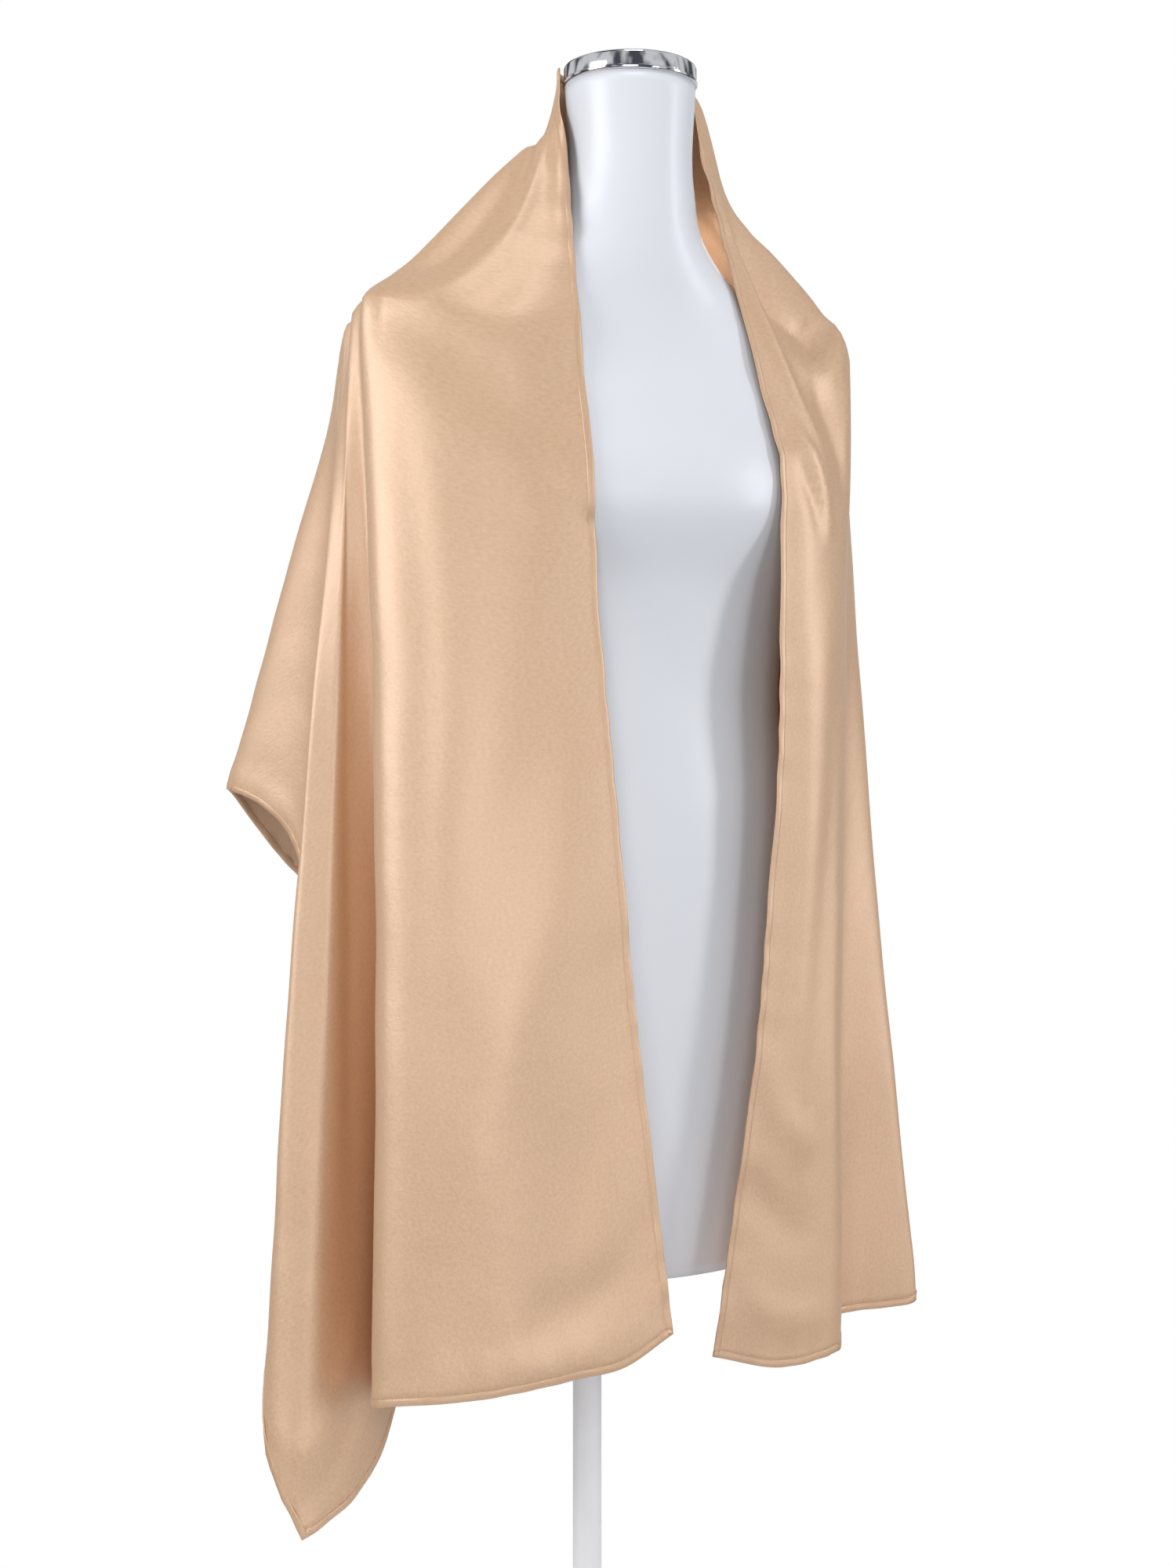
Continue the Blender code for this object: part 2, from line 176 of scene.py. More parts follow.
# Dress form, a row for each level: height, half width, y of the widest line, depth in front of it
# and behind it, and how square the section is, 2 being an ellipse
FORM_COLUMNS = ("z", "half_width", "middle_y", "front", "back", "square")
FORM_LEVELS = (
    ("bottom", 0.480, 0.146, 0.000, 0.112, 0.104, 2.1),
    ("thigh", 0.600, 0.162, 0.000, 0.115, 0.114, 2.1),
    ("hip", 0.720, 0.170, 0.000, 0.117, 0.122, 2.1),
    ("high_hip", 0.820, 0.162, -0.005, 0.112, 0.110, 2.1),
    ("waist", 0.915, 0.151, -0.012, 0.099, 0.094, 2.1),
    ("ribs", 0.985, 0.155, -0.018, 0.103, 0.096, 2.2),
    ("bust", 1.050, 0.162, -0.022, 0.120, 0.102, 2.5),
    ("chest", 1.110, 0.172, -0.026, 0.103, 0.103, 2.4),
    ("armhole", 1.148, 0.180, -0.030, 0.088, 0.094, 2.2),
    ("shoulder_end", 1.172, 0.168, -0.034, 0.080, 0.082, 2.1),
    ("shoulder", 1.192, 0.134, -0.040, 0.073, 0.070, 2.0),
    ("slope", 1.212, 0.098, -0.048, 0.066, 0.060, 2.0),
    ("neck_base", 1.240, 0.063, -0.060, 0.055, 0.052, 2.0),
    ("neck", 1.280, 0.0485, -0.068, 0.0485, 0.0485, 2.0),
    ("neck_top", 1.356, 0.0485, -0.070, 0.0485, 0.0485, 2.0),
)
FORM_SIDES = 128
FORM_RINGS = 150

# Fold lines from the right front edge, round the back, to the left front edge: the bearing at the
# neck in degrees from the right side backwards, the point where the line starts to hang, its place
# halfway down, and its end at the hem
LINE_COLUMNS = (
    "bearing", "hang_x", "hang_y", "hang_z", "half_x", "half_y", "hem_x", "hem_y", "hem_z",
)
LINES = (
    ("right_edge", 22, -0.066, -0.116, 1.175, -0.057, -0.152, -0.029, -0.187, 0.460),
    ("right_edge_side", 24.5, -0.087, -0.118, 1.174, -0.080, -0.155, -0.062, -0.184, 0.441),
    ("right_panel_near", 27, -0.112, -0.116, 1.172, -0.108, -0.151, -0.095, -0.176, 0.434),
    ("right_panel_far", 32, -0.160, -0.090, 1.178, -0.160, -0.134, -0.156, -0.150, 0.421),
    ("right_fold", 38, -0.197, -0.053, 1.190, -0.2025, -0.094, -0.212, -0.104, 0.411),
    ("right_valley", 43, -0.204, -0.036, 1.188, -0.178, -0.016, -0.157, 0.010, 0.371),
    ("right_lap", 45.5, -0.206, -0.028, 1.184, -0.202, -0.014, -0.188, -0.016, 0.334),
    ("right_corner", 48, -0.202, -0.020, 1.183, -0.222, -0.022, -0.247, -0.042, 0.307),
    ("right_pleat", 52, -0.198, -0.010, 1.181, -0.242, -0.014, -0.2640, -0.014, 0.368),
    ("right_behind", 56, -0.194, 0.000, 1.178, -0.217, 0.008, -0.238, 0.022, 0.500),
    ("right_tuck", 60, -0.196, 0.010, 1.178, -0.199, 0.034, -0.205, 0.060, 0.740),
    ("right_drape", 66, -0.187, 0.022, 1.174, -0.210, 0.078, -0.243, 0.136, 0.836),
    ("right_blade", 74, -0.156, 0.046, 1.170, -0.166, 0.110, -0.177, 0.165, 0.769),
    ("right_flute", 84, -0.094, 0.060, 1.168, -0.098, 0.094, -0.100, 0.122, 0.716),
    ("centre_back", 96, -0.004, 0.066, 1.168, -0.002, 0.118, 0.002, 0.164, 0.690),
    ("left_flute", 111, 0.090, 0.060, 1.168, 0.098, 0.096, 0.096, 0.124, 0.700),
    ("left_blade", 124, 0.152, 0.044, 1.174, 0.164, 0.104, 0.164, 0.150, 0.742),
    ("left_drape", 134, 0.194, 0.022, 1.180, 0.214, 0.074, 0.226, 0.112, 0.780),
    ("left_tuck", 142, 0.204, 0.008, 1.184, 0.198, 0.040, 0.204, 0.058, 0.690),
    ("left_behind", 150, 0.204, -0.004, 1.182, 0.214, 0.016, 0.228, 0.036, 0.565),
    ("left_corner", 157, 0.205, -0.016, 1.180, 0.214, -0.012, 0.216, 0.000, 0.470),
    ("left_pleat", 163, 0.206, -0.033, 1.180, 0.222, -0.052, 0.246, -0.086, 0.437),
    ("left_valley", 168, 0.199, -0.064, 1.178, 0.180, -0.074, 0.178, -0.080, 0.430),
    ("left_fold", 172, 0.160, -0.110, 1.085, 0.141, -0.129, 0.129, -0.147, 0.420),
    ("left_panel", 175, 0.122, -0.130, 1.085, 0.114, -0.138, 0.080, -0.150, 0.416),
    ("left_edge", 178, 0.092, -0.133, 1.080, 0.086, -0.138, 0.028, -0.143, 0.428),
)
CORNERS = ("right_corner", "left_corner")

# The edge round the neck, from the right front edge backwards to the left one, and how much of
# each shoulder's sag the cloth has there
NECK_COLUMNS = ("bearing", "radius", "height", "right_share", "left_share")
NECK = (
    (22, 0.0508, 1.370, 0.35, 0.00),
    (34, 0.0515, 1.371, 0.90, 0.00),
    (52, 0.0530, 1.372, 1.00, 0.00),
    (75, 0.0550, 1.371, 0.80, 0.00),
    (98, 0.0570, 1.370, 0.40, 0.30),
    (126, 0.0590, 1.369, 0.00, 0.80),
    (152, 0.0600, 1.367, 0.00, 1.00),
    (168, 0.0590, 1.366, 0.10, 0.90),
    (178, 0.0525, 1.366, 0.75, 0.10),
)

# How far the cloth sags below a straight line from the neck (0) to where it starts to hang (1)
SAG_AT = (0.0, 0.07, 0.20, 0.35, 0.50, 0.65, 0.80, 0.90, 1.0)
RIGHT_SAG = (0.0, 0.030, 0.026, 0.022, 0.021, 0.020, 0.017, 0.011, 0.0)
LEFT_SAG = (0.0, -0.004, 0.037, 0.037, 0.024, 0.014, 0.006, 0.001, 0.0)

# How far along the line each bend is rounded, from the neck (0) over the shoulder (1) to the
# hem (3)
ROUND_AT = (0.0, 0.5, 1.0, 1.5, 2.0, 2.5, 3.0)
ROUND_BY = (0.0, 0.20, 0.09, 0.35, 0.60, 0.45, 0.0)

# How finely a crease's curve is followed, how many half widths to its sides are worked out, and
# how it fades towards its ends
MM = 0.001
CREASE_STEPS = 8
CREASE_REACH = 6
CREASE_FADE = 0.7

# Soft creases: height in mm (a trough is less than 0), half width in mm, and the curve it follows,
# each of its points as the number of a fold line, counted from the right edge, and a place down it
CREASES = (
    # Right yoke: the ridge from the neck, the swell it ends in, and the troughs beside them
    (4.2, 7, ((2.9, 0.04), (2.75, 0.20), (2.5, 0.35), (2.5, 0.50), (2.7, 0.68))),
    (5.0, 20, ((2.7, 0.60), (2.9, 0.76), (3.2, 0.87), (3.6, 0.93), (4.0, 0.95))),
    (-6.0, 15, ((3.1, 0.10), (3.2, 0.34), (3.35, 0.56), (3.5, 0.74), (3.7, 0.86))),
    (-3.0, 20, ((1.9, 0.40), (2.2, 0.70), (2.5, 0.90), (2.8, 1.04))),
    (-5.0, 24, ((4.0, 1.00), (3.4, 1.04), (2.7, 1.12), (1.9, 1.24), (1.2, 1.36))),
    (2.5, 7, ((0.3, 0.05), (0.7, 0.20), (0.8, 0.45), (0.6, 0.80))),
    # Right panel: long soft diagonals
    (2.8, 24, ((2.8, 1.12), (2.0, 1.26), (1.0, 1.40), (0.2, 1.50))),
    (-2.6, 26, ((0.2, 1.50), (1.4, 1.68), (2.3, 1.90), (3.1, 2.20))),
    (3.6, 26, ((0.1, 1.80), (1.1, 2.00), (2.1, 2.20), (2.8, 2.46), (3.2, 2.75))),
    (-3.0, 24, ((0.2, 2.20), (1.0, 2.42), (1.8, 2.66), (2.4, 2.95))),
    (-3.2, 15, ((0.1, 2.76), (0.8, 2.82), (1.7, 2.86), (2.6, 2.88))),
    (2.6, 9, ((0.3, 2.94), (1.4, 2.95), (2.6, 2.955), (3.6, 2.95))),
    (-1.8, 14, ((3.6, 1.20), (3.4, 1.60), (3.5, 2.10), (3.4, 2.70))),
    # Right pleat and the drape behind it
    (-2.0, 12, ((7.5, 1.20), (7.6, 1.70), (7.4, 2.30), (7.5, 2.90))),
    (3.0, 8, ((6.1, 2.70), (6.5, 2.80), (7.1, 2.88), (7.8, 2.90))),
    (-3.0, 9, ((6.0, 2.82), (6.5, 2.91), (7.2, 2.96))),
    (2.0, 10, ((6.4, 1.30), (6.6, 1.90), (6.5, 2.50))),
    (2.5, 16, ((9.6, 1.10), (10.3, 1.50), (10.8, 2.00), (11.0, 2.60))),
    (-3.0, 16, ((10.0, 1.05), (10.9, 1.40), (11.5, 1.90), (11.7, 2.60))),
    # Back: swags between the shoulders, then long folds to the hem
    (-4.5, 17, ((10.3, 0.80), (12.4, 0.98), (14.4, 1.05), (16.4, 0.99), (18.6, 0.80))),
    (4.0, 16, ((10.8, 1.02), (12.8, 1.22), (14.5, 1.28), (16.1, 1.20), (18.2, 1.00))),
    (-3.2, 16, ((11.2, 1.30), (13.0, 1.48), (14.6, 1.53), (16.0, 1.46), (17.7, 1.28))),
    (2.6, 18, ((11.9, 1.62), (13.4, 1.78), (14.5, 1.80), (15.7, 1.73), (16.9, 1.58))),
    (-3.0, 18, ((12.6, 1.70), (12.7, 2.20), (12.5, 2.95))),
    (3.0, 18, ((13.5, 1.85), (13.7, 2.30), (13.6, 2.98))),
    (3.2, 17, ((15.4, 1.85), (15.3, 2.35), (15.5, 2.98))),
    (-2.8, 18, ((16.5, 1.60), (16.6, 2.20), (16.4, 2.95))),
    (-3.5, 12, ((13.0, 0.20), (14.3, 0.42), (15.6, 0.20))),
    # Left side, hidden in the front view
    (3.0, 16, ((18.0, 1.05), (18.3, 1.60), (18.2, 2.30), (18.4, 2.95))),
    (-3.2, 13, ((19.3, 1.00), (19.5, 1.60), (19.4, 2.30), (19.6, 2.90))),
    (2.6, 13, ((20.5, 1.02), (20.6, 1.60), (20.5, 2.30), (20.7, 2.90))),
    # Left yoke: the ridge over the collarbone, the swell on the shoulder, the dimple at the bust
    (5.2, 6.5, (
        (23.4, 0.14), (23.8, 0.32), (24.0, 0.50), (23.9, 0.68), (23.7, 0.86), (23.45, 1.10),
    )),
    (-7.5, 13, ((23.3, 0.26), (23.1, 0.48), (22.7, 0.68), (22.2, 0.82), (21.9, 0.90))),
    (5.5, 15, ((23.1, 0.64), (22.8, 0.76), (22.4, 0.87), (21.9, 0.96))),
    (-3.0, 10, ((22.8, 0.72), (22.9, 0.86), (22.95, 1.02), (22.8, 1.14))),
    (4.2, 7.5, ((24.3, 0.90), (24.0, 0.99), (23.7, 1.08), (23.4, 1.18))),
    (-3.5, 8, ((24.4, 1.00), (24.0, 1.08), (23.6, 1.17))),
    # Left panel
    (2.4, 18, ((23.2, 1.25), (23.9, 1.60), (24.3, 2.10), (24.6, 2.70))),
    (-2.4, 16, ((24.0, 1.50), (24.5, 1.95), (24.8, 2.50))),
    (-2.4, 14, ((22.9, 1.40), (23.3, 1.90), (23.5, 2.40), (23.4, 2.90))),
    (2.0, 14, ((22.4, 1.30), (22.6, 1.90), (22.5, 2.80))),
    (3.0, 12, ((24.9, 2.30), (24.5, 2.42), (24.0, 2.50), (23.5, 2.54))),
    (-3.2, 14, ((24.9, 2.58), (24.3, 2.68), (23.5, 2.74))),
    (2.8, 11, ((24.8, 2.84), (24.0, 2.89), (23.3, 2.90))),
)


def smooth(places, values, at, corners=()):
    """Values read from a smooth curve through a table, with one-sided slopes at the corner rows."""
    places = np.asarray(places, float)
    values = np.asarray(values, float)
    steps = np.diff(places)
    slopes = np.diff(values) / steps
    before = np.concatenate([slopes[:1], slopes])
    after = np.concatenate([slopes, slopes[-1:]])
    ahead = np.concatenate([steps, steps[-1:]])
    behind = np.concatenate([steps[:1], steps])
    middle = (before * ahead + after * behind) / (ahead + behind)
    leave = middle.copy()
    arrive = middle.copy()
    for row in corners:
        leave[row] = after[row]
        arrive[row] = before[row]
    row = np.clip(np.searchsorted(places, at, side="right") - 1, 0, len(steps) - 1)
    part = (at - places[row]) / steps[row]
    rest = 1 - part
    return (
        values[row] * rest**2 * (1 + 2 * part)
        + values[row + 1] * part**2 * (1 + 2 * rest)
        + leave[row] * steps[row] * part * rest**2
        - arrive[row + 1] * steps[row] * part**2 * rest
    )


def form_section(z):
    """Half width, middle, depths and squareness of the form at each height."""
    heights = [level[1] for level in FORM_LEVELS]
    z = np.clip(z, heights[0], heights[-1])
    return {
        name: smooth(heights, [level[2 + i] for level in FORM_LEVELS], z)
        for i, name in enumerate(FORM_COLUMNS[1:])
    }


def form_ratio(points):
    """1 on the form's surface, less inside it and more outside."""
    section = form_section(points[..., 2])
    y = points[..., 1] - section["middle_y"]
    depth = np.where(y < 0, section["front"], section["back"])
    power = section["square"]
    aside = np.abs(points[..., 0] / section["half_width"]) ** power
    return (aside + np.abs(y / depth) ** power) ** (1 / power)


def distance_and_way(points):
    """Roughly the distance to the form, and the way straight out of it."""
    ratio = form_ratio(points)
    slope = np.stack(
        [
            (form_ratio(points + step) - form_ratio(points - step)) / (2 * PROBE)
            for step in PROBE * np.eye(3)
        ],
        axis=-1,
    )
    steepness = np.linalg.norm(slope, axis=-1)
    return (ratio - 1) / steepness, slope / steepness[..., None]


def kept_clear(points):
    """Cloth points moved softly out of the form, where they would touch it."""
    for _ in range(CONTACT_PASSES):
        distance, way = distance_and_way(points)
        short = CLEAR_OF_FORM - distance
        push = (short + np.sqrt(short**2 + SOFTEN_CONTACT**2)) / 2
        beside_form = np.clip((points[..., 2] - FORM_BOTTOM) / BELOW_FORM + 1, 0, 1)
        near = np.clip(1 - distance / CONTACT_REACH, 0, 1)
        points = points + way * (push * beside_form * near)[..., None]
    return points


def line_column(name):
    return np.array([line[1 + LINE_COLUMNS.index(name)] for line in LINES], float)


def line_places():
    """Where each fold line lies across the cloth, from the distances between the lines."""
    across = []
    for level in ("half", "hem"):
        x, y = line_column(level + "_x"), line_column(level + "_y")
        across.append(np.hypot(np.diff(x), np.diff(y)))
    return np.concatenate([[0], np.cumsum((across[0] + across[1]) / 2)])


def bearings(places_across):
    """Bearing at the neck of each place across the cloth, in degrees."""
    return smooth(line_places(), line_column("bearing"), places_across)


def at_neck(size, bearing):
    """A size from the table of the neck edge, at each bearing."""
    column = NECK_COLUMNS.index(size)
    return smooth([row[0] for row in NECK], [row[column] for row in NECK], bearing)


def sags(bearing, at):
    """How far each line sags on its way from the neck to where it hangs."""
    in_yoke = np.clip(at, 0, 1)
    right = np.outer(at_neck("right_share", bearing), smooth(SAG_AT, RIGHT_SAG, in_yoke))
    left = np.outer(at_neck("left_share", bearing), smooth(SAG_AT, LEFT_SAG, in_yoke))
    return right + left


def guide_points(places_across):
    """The neck, hanging, halfway and hem points at places across the cloth."""
    places = line_places()
    corners = [i for i, line in enumerate(LINES) if line[0] in CORNERS]

    def read(name, sharp=()):
        return smooth(places, line_column(name), places_across, sharp)

    bearing = bearings(places_across)
    radius = at_neck("radius", bearing)
    neck = (
        -radius * np.cos(np.radians(bearing)),
        NECK_CENTRE_Y + radius * np.sin(np.radians(bearing)),
        at_neck("height", bearing),
    )
    hang = (read("hang_x"), read("hang_y"), read("hang_z"))
    hem = (read("hem_x"), read("hem_y"), read("hem_z", corners))
    half = (read("half_x"), read("half_y"), (hang[2] + hem[2]) / 2)
    return np.stack([np.stack(point, axis=-1) for point in (neck, hang, half, hem)], axis=1)


def along_line(guides, at):
    """Points down the lines, with the bend at each guide point rounded."""
    reach = np.interp(at, ROUND_AT, ROUND_BY)
    total = np.zeros((len(guides), len(at), 3))
    offsets = np.linspace(-1, 1, BEND_SAMPLES)
    for offset in offsets:
        place = np.clip(at + offset * reach, 0, 3)
        row = np.clip(place.astype(int), 0, 2)
        part = (place - row)[None, :, None]
        total += guides[:, row] * (1 - part) + guides[:, row + 1] * part
    return total / len(offsets)


def draped(places_across, at):
    """The cloth's points before it has a wall, kept clear of the form."""
    points = along_line(guide_points(places_across), at)
    points[..., 2] -= sags(bearings(places_across), at)
    return kept_clear(points)


def outward(points):
    """The way out of the cloth at each of its points, away from the form."""
    across, down = np.gradient(points, axis=(0, 1))
    normals = np.cross(across, down)
    return normals / np.linalg.norm(normals, axis=-1, keepdims=True)


def lengths_along(points):
    """Distance along a row of points from its first point to each."""
    steps = np.linalg.norm(np.diff(points, axis=0), axis=-1)
    return np.concatenate([[0], np.cumsum(steps)])


def flat_places(points, places):
    """Where each point of the cloth lies along the flat cut's length and across its width."""
    names = [line[0] for line in LINES]
    corner = [line_places()[names.index(name)] for name in CORNERS]
    hem = np.interp(
        places,
        [places[0], corner[0], corner[1], places[-1]],
        [0, CUT_WIDTH, CUT_WIDTH + CUT_LENGTH, 2 * CUT_WIDTH + CUT_LENGTH],
    )
    hem_along = np.clip(hem - CUT_WIDTH, 0, CUT_LENGTH) - CUT_LENGTH / 2
    hem_across = np.minimum(np.minimum(hem, 2 * CUT_WIDTH + CUT_LENGTH - hem), CUT_WIDTH)
    neck = lengths_along(points[:, 0])
    neck_along = neck - neck[-1] / 2
    steps = np.linalg.norm(np.diff(points, axis=1), axis=-1)
    down = np.concatenate([np.zeros((len(points), 1)), np.cumsum(steps, axis=1)], axis=1)
    share = down / down[:, -1:]
    along = neck_along[:, None] * (1 - share) + hem_along[:, None] * share
    return np.stack([along, hem_across[:, None] * share], axis=-1)


def waves(flat, rows):
    """The sum of a table's waves at each place of the flat cut."""
    along, across = flat[..., 0], flat[..., 1]
    total = np.zeros(along.shape)
    for height, turns, turns_across, swing, to, to_across, swing_start, start in rows:
        swung = swing * np.sin(to * along + to_across * across + swing_start)
        total += height * np.sin(turns * along + turns_across * across + swung + start)
    return total


def edge_distances(points):
    """Distance from each point of the cloth to the nearest of its edges, along the cloth."""
    nearest = np.full(points.shape[:2], np.inf)
    for axis in (0, 1):
        lines = np.moveaxis(points, axis, 0)
        steps = np.linalg.norm(np.diff(lines, axis=0), axis=-1)
        run = np.concatenate([np.zeros((1, lines.shape[1])), np.cumsum(steps, axis=0)])
        nearest = np.minimum(nearest, np.moveaxis(np.minimum(run, run[-1] - run), 0, axis))
    return nearest


def hem_puckers(points, flat):
    """Small uneven waves that the hem's stitching draws into the cloth beside it."""
    return waves(flat, PUCKERS) * np.exp(-edge_distances(points) / PUCKER_REACH)


def crease_course(curve):
    """Points of the cloth along a crease, and how far across the cloth they lie."""
    ends = np.array(curve, float)
    at = np.linspace(0, len(ends) - 1, CREASE_STEPS * (len(ends) - 1) + 1)
    line, down = (smooth(np.arange(len(ends)), ends[:, axis], at) for axis in (0, 1))
    across = np.interp(line, np.arange(len(LINES)), line_places())
    course = draped(across, down)
    each = np.arange(len(across))
    return course[each, each], across


def crease_heights(points, places):
    """How far all the creases lift each point of the cloth."""
    lift = np.zeros(points.shape[:2])
    for height, half_width, curve in CREASES:
        course, across = crease_course(curve)
        reach = CREASE_REACH * MM * half_width
        near = (places > across.min() - reach) & (places < across.max() + reach)
        lift[near] += MM * height * crease_shape(points[near], MM * half_width, course)
    return lift


def crease_shape(points, half_width, course):
    """1 along the middle of a crease, fading softly to its sides and its ends."""
    nearest = np.full(points.shape[:2], np.inf)
    part_along = np.zeros(points.shape[:2])
    for row in range(len(course) - 1):
        start, step = course[row], course[row + 1] - course[row]
        part = np.clip(((points - start) @ step) / (step @ step), 0, 1)
        distance = np.linalg.norm(points - start - part[..., None] * step, axis=-1)
        closer = distance < nearest
        nearest = np.where(closer, distance, nearest)
        part_along = np.where(closer, (row + part) / (len(course) - 1), part_along)
    fade = np.clip(np.sin(np.pi * part_along), 0, 1) ** CREASE_FADE
    return np.exp(-((nearest / half_width) ** 2)) * fade


class Cloth:
    """The draped cloth as a grid: where its points are, which way is out, and their flat places."""

    def __init__(self, columns, rows):
        places = np.linspace(0, line_places()[-1], columns)
        down = np.linspace(0, 3, rows)
        points = draped(places, down)
        self.flat = flat_places(points, places)
        lift = crease_heights(points, places) + waves(self.flat, SLOW_WAVES)
        lift += hem_puckers(points, self.flat)
        points = kept_clear(points + outward(points) * lift[..., None])
        self.out = outward(points)
        self.points = points + self.out * CLOTH_INSIDE_WALL


class Value:
    """A shader socket that takes part in Python sums."""

    def __init__(self, nodes, socket):
        self.nodes = nodes
        self.socket = socket

    def math(self, operation, other):
        return self.nodes.add("ShaderNodeMath", {"operation": operation}, {0: self, 1: other})

    def __add__(self, other):
        return self.math("ADD", other)

    def __sub__(self, other):
        return self.math("SUBTRACT", other)

    def __rsub__(self, other):
        return self * -1 + other

    def __mul__(self, other):
        return self.math("MULTIPLY", other)

    __radd__ = __add__
    __rmul__ = __mul__

    def limited(self, low, high):
        return self.math("MAXIMUM", low).math("MINIMUM", high)


class Nodes:
    """A shader's nodes, with one method that adds them."""

    def __init__(self, tree):
        self.tree = tree

    def add(self, kind, settings=None, values=None, output=0):
        """A new node, with its settings, a ramp's stops among them, and then its sockets."""
        node = self.tree.nodes.new(kind)
        for name, value in (settings or {}).items():
            if name == "stops":
                for stop, (place, colour) in zip(node.color_ramp.elements, value):
                    stop.position, stop.color = place, colour
            else:
                setattr(node, name, value)
        for name, value in (values or {}).items():
            self.feed(node.inputs[name], value)
        return Value(self, node.outputs[output])

    def feed(self, socket, value):
        if isinstance(value, Value):
            self.tree.links.new(value.socket, socket)
        else:
            socket.default_value = value

    def noise(self, coordinates, scale, detail=2.0, roughness=0.5):
        """Noise with so many spots to each unit of the coordinates, along each axis."""
        where = self.add("ShaderNodeTexCoord", output=coordinates)
        place = self.add("ShaderNodeMapping", values={"Vector": where, "Scale": scale})
        return self.add(
            "ShaderNodeTexNoise",
            values={"Vector": place, "Scale": 1.0, "Detail": detail, "Roughness": roughness},
        )

    def mix(self, factor, first, second):
        return self.add(
            "ShaderNodeMix", {"data_type": "RGBA"}, {0: factor, 6: first, 7: second}, output=2
        )

    def bump(self, height, distance, strength, under=None):
        values = {"Height": height, "Distance": distance, "Strength": strength}
        if under is not None:
            values["Normal"] = under
        return self.add("ShaderNodeBump", values=values)


class Finish(Nodes):
    """A material, with the constants of its shader as settings."""

    def __init__(self, name, **settings):
        self.material = bpy.data.materials.new(name)
        self.material.use_nodes = True
        super().__init__(self.material.node_tree)
        self.shader = self.tree.nodes["Principled BSDF"]
        for socket, value in settings.items():
            self.shader.inputs[socket.replace("_", " ")].default_value = value

    def drive(self, name, value):
        self.feed(self.shader.inputs[name], value)


def satin_finish():
    satin = Finish("champagne_satin", **SATIN_SHEEN)
    weft = satin.noise("UV", (1500, 70, 1), 3.0, 0.6)
    grain = satin.noise("UV", (430, 300, 1), 4.0, 0.7)
    cloudy = satin.noise("UV", (9, 9, 1), 3.0)
    mottle = satin.noise("UV", (55, 38, 1))
    depth = (((grain - 0.5) * 2.2 + 0.5) * 0.6 + weft * 0.2 + cloudy * 0.2).limited(0, 1)
    satin.drive("Base Color", satin.mix(depth, SATIN_DEEP, SATIN_PALE))
    satin.drive("Roughness", cloudy * 0.08 + grain * 0.14 + 0.37)
    relief = satin.bump(mottle, 0.0012, 0.35)
    relief = satin.bump(grain, 0.00035, 0.5, relief)
    satin.drive("Normal", satin.bump(weft, 0.00010, 0.5, relief))
    return satin.material


def hem_finish():
    hem = Finish("satin_hem", **SATIN_SHEEN)
    weft = hem.noise("UV", (300, 900, 1), 3.0, 0.6)
    pucker = hem.noise("UV", (170, 40, 1))
    hem.drive("Base Color", hem.mix(weft, SATIN_DEEP, HEM_PALE))
    hem.drive("Roughness", weft * 0.10 + 0.40)
    hem.drive("Normal", hem.bump(pucker, 0.0004, 0.5, hem.bump(weft, 0.0001, 0.5)))
    return hem.material


def thread_finish():
    thread = Finish("sewing_thread", Roughness=0.5, Sheen_Weight=0.2)
    twist = thread.noise("Object", (2200, 2200, 2200))
    thread.drive("Base Color", thread.mix(twist, (0.58, 0.37, 0.235, 1), (0.74, 0.52, 0.36, 1)))
    return thread.material


def shell_finish():
    shell = Finish("form_shell", Coat_Weight=0.25, Coat_Roughness=0.25, Specular_IOR_Level=0.5)
    patches = shell.noise("Object", (14, 14, 14), 3.0)
    grain = shell.noise("Object", (900, 900, 900))
    shell.drive("Base Color", shell.mix(patches, (0.80, 0.82, 0.87, 1), (0.84, 0.86, 0.91, 1)))
    shell.drive("Roughness", patches * 0.08 + 0.36)
    shell.drive("Normal", shell.bump(grain, 0.00006, 0.35, shell.bump(patches, 0.0006, 0.25)))
    return shell.material


def chrome_finish():
    chrome = Finish("chrome", Metallic=1.0)
    brushed = chrome.noise("Object", (60, 60, 2600))
    chrome.drive("Base Color", chrome.mix(brushed, (0.74, 0.74, 0.76, 1), (0.84, 0.84, 0.86, 1)))
    chrome.drive("Roughness", brushed * 0.06 + 0.05)
    chrome.drive("Normal", chrome.bump(brushed, 0.00003, 0.3))
    return chrome.material


def paint_finish():
    paint = Finish("stand_paint", Specular_IOR_Level=0.5)
    dust = paint.noise("Object", (40, 40, 40), 3.0)
    peel = paint.noise("Object", (1100, 1100, 1100), 1.0)
    paint.drive("Base Color", paint.mix(dust, (0.84, 0.84, 0.86, 1), (0.90, 0.90, 0.91, 1)))
    paint.drive("Roughness", dust * 0.12 + 0.30)
    paint.drive("Normal", paint.bump(peel, 0.00006, 0.4))
    return paint.material


def add_object(name, bm, material):
    mesh = bpy.data.meshes.new(name)
    bm.to_mesh(mesh)
    bm.free()
    mesh.materials.append(material)
    obj = bpy.data.objects.new(name, mesh)
    bpy.context.collection.objects.link(obj)
    return obj


def add_piece(name, bm, finish, nodes=()):
    obj = add_object(name, bm, finish)
    obj.data.shade_smooth()
    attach(obj, "root")
    if nodes:
        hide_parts(*nodes)
    return obj


def grid(columns, rows):
    """A mesh with a flat grid of vertices, and the column and row of each one."""
    bm = bmesh.new()
    bmesh.ops.create_grid(bm, x_segments=columns - 1, y_segments=rows - 1, size=1)
    where = {}
    for vert in bm.verts:
        column = round((vert.co.x + 1) / 2 * (columns - 1))
        row = round((vert.co.y + 1) / 2 * (rows - 1))
        where[vert] = column, row
    return bm, where


